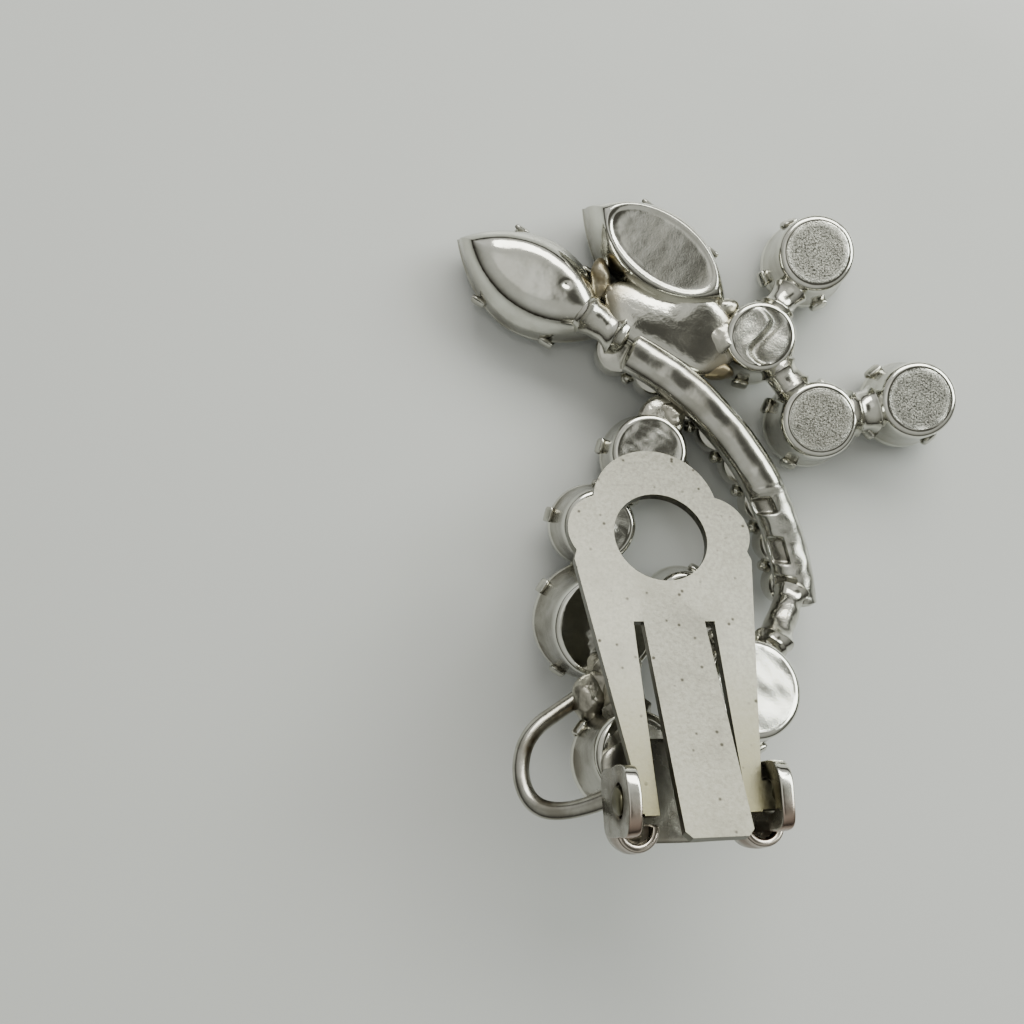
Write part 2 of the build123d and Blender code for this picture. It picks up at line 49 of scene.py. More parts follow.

# %% [markdown]
# Every surface below is a grid of rows and columns. The columns always run round and close on themselves. A
# row whose points all fall together is a pole, which merging doubles turns into a fan of triangles. A shell
# also carries masks, one number a point, that say where the metal is grainy, soldered or tarnished, and
# where it is painted with shade.

# %% The closed grid, and the object made of many of them
Shell = namedtuple("Shell", "points masks ring")
MASKS = ("grain", "solder", "tarnish", "copper", "flux")
MERGE = 1e-7


def shell(points, ring=False, **masks):
    """A grid of points (rows, columns, 3) in millimetres with its masks, a ring if its rows close too."""
    rows, columns = points.shape[:2]
    full = {name: np.broadcast_to(mask, (rows, columns)) for name, mask in masks.items()}
    return Shell(points, full, ring)


def grid_faces(rows, columns, ring):
    """Quads between neighbours: each point with the next in its row and the same two in the next row."""
    index = np.arange(rows * columns).reshape(rows, columns)
    index = np.concatenate((index, index[:, :1]), axis=1)
    if ring:
        index = np.concatenate((index, index[:1]), axis=0)
    corners = (index[:-1, :-1], index[:-1, 1:], index[1:, 1:], index[1:, :-1])
    return np.stack(corners, axis=-1).reshape(-1, 4)


def built(name, shells, material, sharp=42.0):
    """One object from closed grids: points joined, doubles merged, faces turned out, masks kept."""
    counts = [part.points.shape[0] * part.points.shape[1] for part in shells]
    starts = np.cumsum([0] + counts[:-1])
    points = np.concatenate([part.points.reshape(-1, 3) for part in shells])
    faces = [grid_faces(*part.points.shape[:2], part.ring) + start for part, start in zip(shells, starts)]
    mesh = bpy.data.meshes.new(name)
    mesh.from_pydata(((points - MIDDLE) * MM).tolist(), [], np.concatenate(faces).tolist())
    for mask in MASKS:
        values = [part.masks.get(mask, np.zeros(part.points.shape[:2])).ravel() for part in shells]
        layer = mesh.attributes.new(mask, "FLOAT", "POINT")
        layer.data.foreach_set("value", np.concatenate(values).astype(np.float32))
    tidy = bmesh.new()
    tidy.from_mesh(mesh)
    bmesh.ops.remove_doubles(tidy, verts=tidy.verts, dist=MERGE)
    bmesh.ops.recalc_face_normals(tidy, faces=tidy.faces)
    tidy.to_mesh(mesh)
    tidy.free()
    mesh.shade_smooth()
    mesh.set_sharp_from_angle(angle=np.radians(sharp))
    mesh.materials.append(material)
    piece = bpy.data.objects.new(name, mesh)
    bpy.context.scene.collection.objects.link(piece)
    print(name, len(shells), "shells", len(mesh.polygons), "faces")
    return piece


# %% [markdown]
# Pressed and soldered metal is never exact. A soft random height, made of a few sine waves that run in random
# directions, gives it dents and lumps. It depends on the place alone, so shared points stay together.

# %% Small tools for points: unit vectors, noise, rounded paths, turned and swept surfaces
def unit(vectors):
    """The vectors at length one."""
    vectors = np.asarray(vectors, float)
    return vectors / np.linalg.norm(vectors, axis=-1, keepdims=True)


def ripple(points, wave, seed, waves=8):
    """A soft random height: the mean of sine waves of one length in random directions."""
    random = np.random.default_rng(seed)
    ways = unit(random.normal(size=(waves, 3)))
    turns = random.uniform(0, 2 * np.pi, waves)
    return np.sin(points @ ways.T * (2 * np.pi / wave) + turns).mean(axis=-1)


def wobbled(points, wave, size, seed):
    """Moves each point by three ripples, one for each axis."""
    moves = [ripple(points, wave, seed + axis) for axis in range(3)]
    return points + size * np.stack(moves, axis=-1)


def smooth_step(value, low, high):
    """Rises from 0 at low to 1 at high in an s-shaped curve."""
    share = np.clip((np.asarray(value, float) - low) / (high - low), 0, 1)
    return share * share * (3 - 2 * share)


def rounded(corners, cuts=2):
    """Cuts the corners of an open path: a pass keeps its ends and two points on each run, at its quarters."""
    path = np.asarray(corners, float)
    for _ in range(cuts):
        near = 0.75 * path[:-1] + 0.25 * path[1:]
        far = 0.25 * path[:-1] + 0.75 * path[1:]
        between = np.stack((near, far), axis=1).reshape(-1, path.shape[1])
        path = np.concatenate((path[:1], between, path[-1:]))
    return path


def rounded_loop(corners, cuts=3):
    """The same corner cutting on a closed outline."""
    path = np.asarray(corners, float)
    for _ in range(cuts):
        after = np.roll(path, -1, axis=0)
        path = np.stack((0.75 * path + 0.25 * after, 0.25 * path + 0.75 * after), axis=1)
        path = path.reshape(-1, path.shape[-1])
    return path


def turned(profile, centre, axes, sides=64):
    """A profile of (radius, height) turned about an axis: centre + radius times ring + height times up."""
    angle = np.linspace(0, 2 * np.pi, sides, endpoint=False)[:, None]
    across, ahead, up = axes
    ring = np.cos(angle) * across + np.sin(angle) * ahead
    radius, height = np.asarray(profile, float).T
    return np.asarray(centre) + radius[:, None, None] * ring + height[:, None, None] * up


def swept(path, across, half_across, half_up, power=2.0, sides=20, cap=0.5):
    """A superellipse carried along a path: point + a cos(t)^(2/p) across + b sin(t)^(2/p) up, round ends."""
    path = np.asarray(path, float)
    along = unit(np.gradient(path, axis=0))
    path = np.concatenate((
        path[:1] - cap * along[:1], path[:1] - 0.7 * cap * along[:1], path,
        path[-1:] + 0.7 * cap * along[-1:], path[-1:] + cap * along[-1:],
    ))
    along = np.concatenate((along[:1], along[:1], along, along[-1:], along[-1:]))
    size = np.ones(len(path))
    size[[0, -1]] = 0
    size[[1, -2]] = 0.72
    across = np.broadcast_to(np.asarray(across, float), path.shape)
    across = unit(across - (across * along).sum(axis=1, keepdims=True) * along)
    up = np.cross(along, across)
    angle = np.linspace(0, 2 * np.pi, sides, endpoint=False)
    wide = np.sign(np.cos(angle)) * np.abs(np.cos(angle)) ** (2 / power)
    high = np.sign(np.sin(angle)) * np.abs(np.sin(angle)) ** (2 / power)
    half_across = np.broadcast_to(_padded(half_across, len(path)), len(path)) * size
    half_up = np.broadcast_to(_padded(half_up, len(path)), len(path)) * size
    return (
        path[:, None] + (half_across[:, None] * wide)[..., None] * across[:, None]
        + (half_up[:, None] * high)[..., None] * up[:, None]
    )


def _padded(value, count):
    """A size for each row of a swept path, its end values repeated for the two rows of each cap."""
    value = np.atleast_1d(np.asarray(value, float))
    return value if len(value) == 1 else np.pad(value, (count - len(value)) // 2, mode="edge")


def pillow(outline, low, high, power=0.35, rows=26):
    """A flat lump with a soft edge: the outline shrunk by sin(f)^p about its middle, at height cos(f)."""
    middle = outline.mean(axis=0)
    angle = np.linspace(0, np.pi, rows)
    share = np.sin(angle) ** power
    share[[0, -1]] = 0
    height = (low + high) / 2 + (high - low) / 2 * np.sign(np.cos(angle)) * np.abs(np.cos(angle)) ** 0.7
    flat = middle + share[:, None, None] * (outline - middle)
    return np.concatenate((flat, np.broadcast_to(height[:, None, None], flat.shape[:2] + (1,))), axis=2)


# %% [markdown]
# The metal is brass or pot metal with a thin bright rhodium plate, a whitish chrome. Where it was polished it
# mirrors the room. The flat backs of some cups came grainy out of the casting mould, solder stays lumpy, and
# where the plate wore through it browned or shows a pinkish copper undercoat. The same brown is also painted
# as shade on walls, prongs and faces that look dark. One material reads the masks, so the finishes fade into
# each other as they do on the real thing.

# %% Colours and nodes
def linear(code):
    """An sRGB hex code as linear red, green, blue and alpha."""
    code = code.lstrip("#")
    srgb = np.array([int(code[i:i + 2], 16) for i in (0, 2, 4)]) / 255
    low = srgb <= 0.04045
    return (*np.where(low, srgb / 12.92, ((srgb + 0.055) / 1.055) ** 2.4), 1.0)


def add(tree, kind, inputs=None, **settings):
    """Adds a node, sets its settings, and fills its inputs with values or with other nodes' outputs."""
    node = tree.nodes.new(kind)
    for key, value in settings.items():
        setattr(node, key, value)
    for key, value in (inputs or {}).items():
        if isinstance(value, bpy.types.NodeSocket):
            tree.links.new(value, node.inputs[key])
        else:
            node.inputs[key].default_value = value
    return node


def new_material(name, **sockets):
    """A material with one Principled shader, constants on its own sockets, and its object coordinates."""
    material = bpy.data.materials.new(name)
    material.use_nodes = True
    tree = material.node_tree
    shader = tree.nodes["Principled BSDF"]
    for key, value in sockets.items():
        shader.inputs[key.replace("_", " ")].default_value = value
    place = add(tree, "ShaderNodeTexCoord").outputs["Object"]
    return material, tree, shader, place


def noise(tree, place, size_mm, detail=3.0, rough=0.55):
    """A noise whose lumps are about size_mm wide."""
    inputs = {"Vector": place, "Scale": 1 / (size_mm * MM), "Detail": detail, "Roughness": rough}
    return add(tree, "ShaderNodeTexNoise", inputs).outputs["Fac"]


def mask(tree, name):
    """A mask of the mesh as a number."""
    return add(tree, "ShaderNodeAttribute", attribute_name=name).outputs["Fac"]


def ranged(tree, value, from_low, from_high, to_low, to_high):
    """A number carried from one range to another."""
    inputs = {"Value": value, "From Min": from_low, "From Max": from_high}
    inputs |= {"To Min": to_low, "To Max": to_high}
    return add(tree, "ShaderNodeMapRange", inputs).outputs["Result"]


def maths(tree, operation, a, b):
    """Two numbers put together."""
    return add(tree, "ShaderNodeMath", {0: a, 1: b}, operation=operation).outputs[0]


def mixed(tree, share, a, b):
    """Colour a turning to colour b as the share goes from 0 to 1."""
    return add(tree, "ShaderNodeMix", {0: share, 6: a, 7: b}, data_type="RGBA").outputs[2]


def bumped(tree, height_mm, shader):
    """Heights in real millimetres as bump on a shader."""
    bump = add(tree, "ShaderNodeBump", {"Height": height_mm, "Distance": MM, "Strength": 1.0})
    tree.links.new(bump.outputs["Normal"], shader.inputs["Normal"])


# %% Bright rhodium plate over cast and soldered metal, electroplated and partly worn
def rhodium_plate():
    """Whitish mirror metal that turns grainy, lumpy, brown or pinkish where its masks say so; the brown is
    tarnish and painted shade.
    """
    material, tree, shader, place = new_material("bright_rhodium_plate", Metallic=1.0)
    grain, solder, tarnish, copper, flux = [mask(tree, name) for name in MASKS]
    cloud = noise(tree, place, 1.6)
    sparkle = noise(tree, place, 0.10, 4.0, 0.7)
    lumps = noise(tree, place, 0.55, 3.0)
    patchy = ranged(tree, cloud, 0.40, 0.62, 0.0, 1.0)
    colour = mixed(tree, ranged(tree, cloud, 0.3, 0.7, 0.0, 1.0), linear("#DCDCD4"), linear("#C6C5BB"))
    grainy = mixed(tree, ranged(tree, sparkle, 0.38, 0.68, 0.0, 1.0), linear("#302F2B"), linear("#A3A29A"))
    colour = mixed(tree, grain, colour, grainy)
    colour = mixed(tree, maths(tree, "MULTIPLY", solder, 0.45), colour, linear("#A09A8A"))
    # The tarnish mask browns the metal: real tarnish, and painted shade on cup and leaf walls, prongs, the
    # stem's lower sides and the ear faces.
    stained_and_shaded = maths(tree, "MULTIPLY", tarnish, ranged(tree, patchy, 0.0, 1.0, 0.65, 1.0))
    colour = mixed(tree, stained_and_shaded, colour, linear("#483E2B"))
    colour = mixed(tree, copper, colour, linear("#8C6E5E"))
    colour = mixed(tree, maths(tree, "MULTIPLY", flux, ranged(tree, cloud, 0.40, 0.62, 0.55, 1.0)), colour,
                   linear("#5F4E1E"))
    tree.links.new(colour, shader.inputs["Base Color"])
    rough = ranged(tree, cloud, 0.3, 0.7, 0.07, 0.15)
    for wear, more in ((grain, 0.22), (solder, 0.12), (tarnish, 0.20), (copper, 0.2), (flux, 0.2)):
        rough = maths(tree, "ADD", rough, maths(tree, "MULTIPLY", wear, more))
    tree.links.new(rough, shader.inputs["Roughness"])
    height = maths(tree, "MULTIPLY", noise(tree, place, 0.9, 2.0), 0.018)
    grit = maths(tree, "MULTIPLY", maths(tree, "MULTIPLY", sparkle, grain), 0.045)
    lumpy = maths(tree, "MULTIPLY", maths(tree, "MULTIPLY", lumps, solder), 0.08)
    bumped(tree, maths(tree, "ADD", height, maths(tree, "ADD", grit, lumpy)), shader)
    return material


rhodium = rhodium_plate()
print("material", rhodium.name)


# %% Satin nickel plated spring steel, stamped and barrel polished
PADDLE_ACROSS = (0.983, -0.019, -0.183)
TONGUE_LINE = -4.49


def satin_nickel():
    """Pale grey metal with a fine mottled grain, dark specks, and a yellower tone towards its legs' ends."""
    material, tree, shader, place = new_material("satin_nickel_steel", Metallic=1.0)
    grain = noise(tree, place, 0.20, 5.0, 0.65)
    cloud = noise(tree, place, 2.4, 2.0)
    colour = mixed(tree, ranged(tree, grain, 0.35, 0.65, 0.0, 1.0), linear("#66655D"), linear("#828178"))
    along = add(tree, "ShaderNodeSeparateXYZ", {0: place}).outputs["Y"]
    across = {0: place, 1: PADDLE_ACROSS}
    across = add(tree, "ShaderNodeVectorMath", across, operation="DOT_PRODUCT").outputs["Value"]
    from_tongue = maths(tree, "ABSOLUTE", maths(tree, "SUBTRACT", across, TONGUE_LINE * MM), 0.0)
    legs = maths(tree, "MULTIPLY", ranged(tree, along, -8 * MM, -15 * MM, 0.0, 0.85),
                 ranged(tree, from_tongue, 1.6 * MM, 2.0 * MM, 0.15, 1.0))
    colour = mixed(tree, legs, colour, linear("#5F5B42"))
    colour = mixed(tree, ranged(tree, cloud, 0.5, 0.75, 0.0, 0.35), colour, linear("#56544D"))
    cells = {"Vector": place, "Scale": 1 / (0.62 * MM), "Randomness": 1.0}
    distance = add(tree, "ShaderNodeTexVoronoi", cells).outputs["Distance"]
    speck = maths(tree, "MULTIPLY", ranged(tree, distance, 0.09, 0.18, 1.0, 0.0),
                  ranged(tree, cloud, 0.42, 0.50, 0.0, 0.9))
    colour = mixed(tree, speck, colour, linear("#2A2721"))
    tree.links.new(colour, shader.inputs["Base Color"])
    tree.links.new(ranged(tree, grain, 0.3, 0.7, 0.30, 0.44), shader.inputs["Roughness"])
    bumped(tree, maths(tree, "MULTIPLY", grain, 0.008), shader)
    return material


nickel = satin_nickel()
print("material", nickel.name)


# %% Cut and polished lead glass
def cut_glass():
    """Clear, dense glass: bright by what it bends, with the bright cup behind it as its foil."""
    material, tree, shader, place = new_material(
        "cut_lead_glass", Roughness=0.015, IOR=1.57, Transmission_Weight=0.92,
    )
    tint = mixed(tree, noise(tree, place, 3.0, 1.0), linear("#F3F7FA"), linear("#E6ECF2"))
    tree.links.new(tint, shader.inputs["Base Color"])
    return material


glass = cut_glass()
print("material", glass.name)

# %% [markdown]
# The ten round cups are pressed from sheet: a flat back, a soft shoulder, a wall that flares to a thin rim,
# and a hollow for the stone. A turned profile is just that. Some backs are grainy, the second has an
# s-shaped dent, the last is wrinkled, so a small relief is added to the back's own rows of the grid.

# %% The round cups: their places, sizes and finishes
Cup = namedtuple("Cup", "x y z radius lean_x lean_y depth flare crown prong_turn grain solder relief")
CLIP_LEAN = (0.192, 0.335)
ROUND_CUPS = (
    Cup(6.10, 14.88, 3.90, 2.15, 0.00, 0.00, 3.0, 0.35, 0.9, 20, 1.0, 0.0, 0.03),
    Cup(2.97, 10.19, 3.90, 2.00, 0.00, 0.00, 3.0, 0.35, 0.9, 75, 0.6, 0.1, 0.06),
    Cup(6.27, 5.52, 3.90, 2.17, 0.00, 0.00, 3.0, 0.35, 0.9, 65, 1.0, 0.1, 0.03),
    Cup(11.80, 6.66, 3.90, 2.15, 0.00, 0.00, 3.0, 0.35, 0.9, 40, 1.0, 0.0, 0.05),
    Cup(-3.30, 3.75, 3.95, 2.15, 0.03, 0.07, 3.0, 0.35, 0.9, 75, 0.15, 0.0, 0.05),
    Cup(-6.10, -0.43, 4.45, 2.07, 0.14, 0.00, 3.2, 0.35, 0.9, 75, 0.15, 0.0, 0.05),
    Cup(-5.88, -5.91, 5.55, 2.86, 0.14, 0.00, 4.0, 0.60, 1.2, 55, 0.0, 0.0, 0.008),
    Cup(-1.38, -4.73, 4.50, 1.82, 0.00, 0.05, 3.0, 0.30, 0.8, 60, 0.2, 0.2, 0.10),
    Cup(-4.70, -11.60, 10.58, 2.25, *CLIP_LEAN, 3.6, 0.45, 1.1, 50, 0.5, 0.7, 0.14),
    Cup(1.47, -8.68, 8.40, 2.60, *CLIP_LEAN, 3.8, 0.50, 1.1, 25, 0.35, 0.0, 0.06),
)
DENTED = 1
FLAT_ROWS = 22
CUP_SIDES = 72
WALL = 0.25
STONE_PLAY = 0.08
SHOULDER = 0.5
CONE_RISE = 0.75
# How strongly painted shade darkens the walls of leaning and of upright cups.
LEANING_WALL_SHADE = 0.65
UPRIGHT_WALL_SHADE = 0.3
WALL_WOBBLE = 0.035


def cup_axes(lean_x, lean_y):
    """Across, ahead and up of a cup whose axis leans by slopes in x and y."""
    up = unit((lean_x, lean_y, 1))
    across = unit(np.cross((0, 1, 0), up))
    return across, np.cross(up, across), up


def dent(x, y):
    """An s-shaped furrow: a smooth step across the line x = 0.55 sin(1.9 y), deepest beside that line."""
    off = x - 0.55 * np.sin(1.9 * y)
    return -0.30 * np.exp(-((off - 0.25) / 0.34) ** 2) + 0.10 * np.exp(-((off + 0.3) / 0.3) ** 2)


def round_cup(cup, seed):
    """The cup's skin: rows across the back, down the wall, round the rim and up the cone of the hollow."""
    rim = cup.radius + cup.flare
    seat = rim - WALL
    across_back = np.linspace(0, cup.radius - SHOULDER, FLAT_ROWS)
    back = np.stack((across_back, np.zeros(FLAT_ROWS)), axis=1)
    wall = rounded((
        (cup.radius - SHOULDER, 0), (cup.radius - 0.22, 0.0), (cup.radius - 0.02, -0.16),
        (cup.radius + 0.03, -0.55), (cup.radius + 0.3 * cup.flare, -0.6 * cup.depth),
        (rim - 0.08, -cup.depth + 0.45), (rim - 0.02, -cup.depth + 0.3), (rim, -cup.depth + 0.12),
        (rim, -cup.depth), (rim - 0.10, -cup.depth - 0.01), (seat, -cup.depth + 0.05),
        (seat, -cup.depth + 0.3),
    ))
    bottom = cup.crown + CONE_RISE - cup.depth
    cone = np.array(((0.3, bottom), (0.0, bottom)))
    profile = np.concatenate((back, wall[1:], cone))
    axes = cup_axes(cup.lean_x, cup.lean_y)
    points = turned(profile, (cup.x, cup.y, cup.z), axes, CUP_SIDES)
    from_middle = points - np.array((cup.x, cup.y, cup.z))
    x, y = from_middle @ axes[0], from_middle @ axes[1]
    radius = np.hypot(x, y)
    on_back = 1 - smooth_step(radius, cup.radius - SHOULDER - 0.25, cup.radius - 0.2)
    on_back = on_back * (np.arange(len(profile)) < FLAT_ROWS + 2)[:, None]
    relief = cup.relief * (ripple(points, 1.5, seed) + 0.6 * ripple(points, 0.7, seed + 1) - 0.35)
    if seed == DENTED:
        relief = relief + dent(x, y)
    points = points + (on_back * relief)[..., None] * axes[2]
    outside = (profile[:, 1] > -cup.depth + 0.4)[:, None]
    points = points + (WALL_WOBBLE * ripple(points, 1.8, seed + 40) * outside)[..., None] * axes[0]
    grain = cup.grain * on_back
    # Painted shade: the outer wall is browned below its shoulder, more towards the rim, and more on the
    # leaning cups.
    foot = smooth_step(-profile[:, 1], 0.62 * cup.depth, cup.depth)[:, None] * outside
    shade_strength = LEANING_WALL_SHADE if cup.lean_x > 0.1 else UPRIGHT_WALL_SHADE
    wall_shade = shade_strength * smooth_step(-profile[:, 1], 0.25, 0.8)[:, None] * outside
    return shell(points, grain=grain, solder=cup.solder * on_back, tarnish=0.3 * foot + wall_shade)


cups = [round_cup(cup, seed) for seed, cup in enumerate(ROUND_CUPS)]

# %% [markdown]
# The two pointed cups are pressed the same way, on an outline of two arcs that meet in points. One outline
# formula is scaled down a path of its half length, half width, height and pointedness: over the back, down
# the wall, round the rim and into the hollow. The left cup's back is domed with a pit, the right one's flat.

# %% The pointed cups
Leaf = namedtuple("Leaf", "x y z turn domed")
LEAVES = (
    Leaf(-9.72, 13.52, 4.2, -31.6, True),
    Leaf(-2.65, 14.94, 4.3, -36.6, False),
)
LEAF_HALF = 5.3
LEAF_BULGE = 2.9
LEAF_RIM_Z = 1.05
PIT = (-7.95, 13.05)
PIT_RADIUS = 0.20
PIT_DEPTH = 0.09
DOMED_GRAIN_X = (-8.0, -5.5)
FLAT_GRAIN_X = (-5.5, -3.0)


def leaf_points(leaf, path, columns=120):
    """x = a cos t, y = b sin t |sin t|^(k - 1) for each a, b, height, k: ellipse at k 1, pointed at 2."""
    angle = np.linspace(0, 2 * np.pi, columns, endpoint=False)
    turn = np.radians(leaf.turn)
    along = path[:, :1] * np.cos(angle)
    across = path[:, 1:2] * np.sin(angle) * np.abs(np.sin(angle)) ** (path[:, 3:] - 1)
    x = leaf.x + along * np.cos(turn) - across * np.sin(turn)
    y = leaf.y + along * np.sin(turn) + across * np.cos(turn)
    return np.stack((x, y, np.broadcast_to(path[:, 2:3], x.shape)), axis=-1)


def leaf_cup(leaf, seed):
    """The pointed cup's skin, its back domed, or flat inside a raised line."""
    top = leaf.z
    if leaf.domed:
        back = ((0.0, 0.0, top, 1.1), (1.6, 0.8, top - 0.01, 1.1), (2.7, 1.3, top - 0.10, 1.15),
                (3.6, 1.75, top - 0.34, 1.3), (4.3, 2.12, top - 0.82, 1.5), (4.8, 2.44, top - 1.5, 1.75))
    else:
        back = ((0.0, 0.0, top - 0.1, 1.0), (2.4, 1.2, top - 0.1, 1.0), (3.15, 1.55, top - 0.11, 1.0),
                (3.42, 1.72, top - 0.02, 1.05), (3.72, 1.9, top - 0.02, 1.15), (4.15, 2.15, top - 0.36, 1.5),
                (4.6, 2.4, top - 1.0, 1.8))
    path = rounded((
        *back, (LEAF_HALF - 0.3, LEAF_BULGE - 0.25, 2.3, 1.95),
        (LEAF_HALF - 0.15, LEAF_BULGE - 0.1, LEAF_RIM_Z + 0.4, 2),
        (LEAF_HALF, LEAF_BULGE, LEAF_RIM_Z + 0.25, 2), (LEAF_HALF, LEAF_BULGE, LEAF_RIM_Z, 2),
        (LEAF_HALF - 0.3, LEAF_BULGE - 0.2, LEAF_RIM_Z, 2), (LEAF_HALF - 0.35, LEAF_BULGE - 0.25, 1.35, 2),
        (3.3, 1.45, 2.6, 2), (0.0, 0.0, 2.65, 2),
    ), 3)
    points = leaf_points(leaf, path)
    rows = np.arange(len(path))[:, None]
    outside = rows < np.argmax(path[:, 2] < LEAF_RIM_Z + 0.2)
    move = 0.05 * ripple(points, 3.6, seed) + 0.012 * ripple(points, 1.1, seed + 1)
    if leaf.domed:
        away = np.hypot(points[..., 0] - PIT[0], points[..., 1] - PIT[1])
        move = move - PIT_DEPTH * np.exp(-(away / PIT_RADIUS) ** 2)
    lift = outside * smooth_step(points[..., 2], 2.0, 3.4)
    points = points + np.stack((0 * move, 0 * move, (move - 0.06) * lift), axis=-1)
    # Painted shade: the wall is browned towards its low rim.
    low = 1 - smooth_step(points[..., 2], 1.4, 3.3)
    far = smooth_step(points[..., 0], *(DOMED_GRAIN_X if leaf.domed else FLAT_GRAIN_X))
    grain = 0.2 * far * smooth_step(points[..., 2], top - 0.4, top - 0.05) * outside
    return shell(points, tarnish=0.55 * low * outside, grain=grain)


cups += [leaf_cup(leaf, 60 + number) for number, leaf in enumerate(LEAVES)]
cup_backs = built("cup_backs", cups, rhodium)

# %% [markdown]
# Each stone is held by tabs that were bent over its crown with a pusher. Boxes would do from afar, but the
# tabs stick out of every cup's outline, so each is a soft rounded strip carried along its bent path.

# %% The prongs
PRONG_HALF_WIDTH = 0.44
PRONG_HALF_THICK = 0.14
PRONG_PROUD = 0.16
LEAF_PRONG_PROUD = 0.17
LEAF_PRONG_PLACES = (-2.3, 2.3)
# The prongs' brown share: tarnish and painted shade.
PRONG_TARNISH_AND_SHADE = 0.25


def prong_path(rim, girdle, crown, depth):
    """The middle line of a prong as (radius, height): up the wall, past the rim and in over the crown."""
    slope = unit((-0.45 * girdle, -(crown - 0.06)))
    out = np.array((-slope[1], slope[0]))
    over = np.array((girdle, -depth - 0.06)) + out * (STONE_PLAY + 0.125)
    tip = over + slope * 0.4
    return rounded((
        (rim - 0.03, 0.6 - depth), (rim + PRONG_PROUD, 0.3 - depth), (rim + PRONG_PROUD, -depth),
        (over[0] + 0.02, over[1] + 0.02), over, tip,
    ))


def cup_prongs(cup):
    """Four bent tabs, a quarter turn apart."""
    rim = cup.radius + cup.flare
    path = prong_path(rim, rim - WALL - STONE_PLAY, cup.crown, cup.depth)
    across, ahead, up = cup_axes(cup.lean_x, cup.lean_y)
    tabs = []
    for quarter in range(4):
        turn = np.radians(cup.prong_turn + 90 * quarter)
        out = np.cos(turn) * across + np.sin(turn) * ahead
        line = np.array((cup.x, cup.y, cup.z)) + path[:, :1] * out + path[:, 1:] * up
        points = swept(line, np.cross(up, out), PRONG_HALF_WIDTH, PRONG_HALF_THICK, 3.5, 24, 0.1)
        tabs.append(shell(points, tarnish=PRONG_TARNISH_AND_SHADE))
    return tabs


def leaf_prongs(leaf):
    """Two bent tabs on each long side of a pointed cup."""
    turn = np.radians(leaf.turn)
    along = np.array((np.cos(turn), np.sin(turn), 0))
    across = np.array((-np.sin(turn), np.cos(turn), 0))
    tabs = []
    for place in LEAF_PRONG_PLACES:
        edge = LEAF_BULGE * (1 - (place / LEAF_HALF) ** 2)
        path = rounded((
            (edge + 0.02, 0.7), (edge + LEAF_PRONG_PROUD, 0.4), (edge + LEAF_PRONG_PROUD, -0.05),
            (edge - 0.15, -0.38),
            (edge - 0.82, -0.78),
        ))
        for side in (-1, 1):
            line = np.array((leaf.x, leaf.y, LEAF_RIM_Z)) + place * along
            line = line + path[:, :1] * side * across + path[:, 1:] * np.array((0, 0, 1))
            points = swept(line, along, PRONG_HALF_WIDTH, PRONG_HALF_THICK, 3.5, 24, 0.1)
            tabs.append(shell(points, tarnish=PRONG_TARNISH_AND_SHADE))
    return tabs


tabs = [tab for cup in ROUND_CUPS for tab in cup_prongs(cup)]
tabs += [tab for leaf in LEAVES for tab in leaf_prongs(leaf)]
prongs = built("prongs", tabs, rhodium)

# %% [markdown]
# The stem is cast: a rounded bar on an arc, whose lower half keeps the shallow square pockets of the mould.
# The bar is one superellipse carried along the arc, and the pockets are pushed into the grid's own heights.
# Eight little cups with the stem's stones hang under it, with a bead of metal at each side between two.

# %% The stem with its pockets, its small cups and its beads
STEM_CENTRE = np.array((-12.56, -6.26))
STEM_RADIUS = 17.6
STEM_ANGLES = (62.0, 4.8)
Pocket = namedtuple("Pocket", "angle side half_angle half_side depth")
POCKETS = (
    Pocket(26.6, -0.20, 0.5, 1.2, -0.16), Pocket(24.0, -0.55, 1.5, 0.42, 0.34),
    Pocket(15.2, -0.60, 2.4, 0.36, 0.34), Pocket(8.4, -0.55, 1.7, 0.45, 0.34),
    Pocket(5.9, 0.1, 0.35, 1.0, -0.10),
)
BAR_Z = 3.62
BAR_HALF_WIDTH = 1.09
BAR_HALF_HEIGHT = 0.96
BAR_ROWS = 260
LOWER_FROM, LOWER_TO = 27.5, 25.0
SMALL_CUP_Z = 1.25
SMALL_CUPS = np.radians(64.2 - 8.0 * np.arange(8))


def arc_points(angle, radius, z):
    """Places on circles about the stem's centre."""
    x = STEM_CENTRE[0] + radius * np.cos(angle)
    y = STEM_CENTRE[1] + radius * np.sin(angle)
    return np.stack(np.broadcast_arrays(x, y, z), axis=-1)


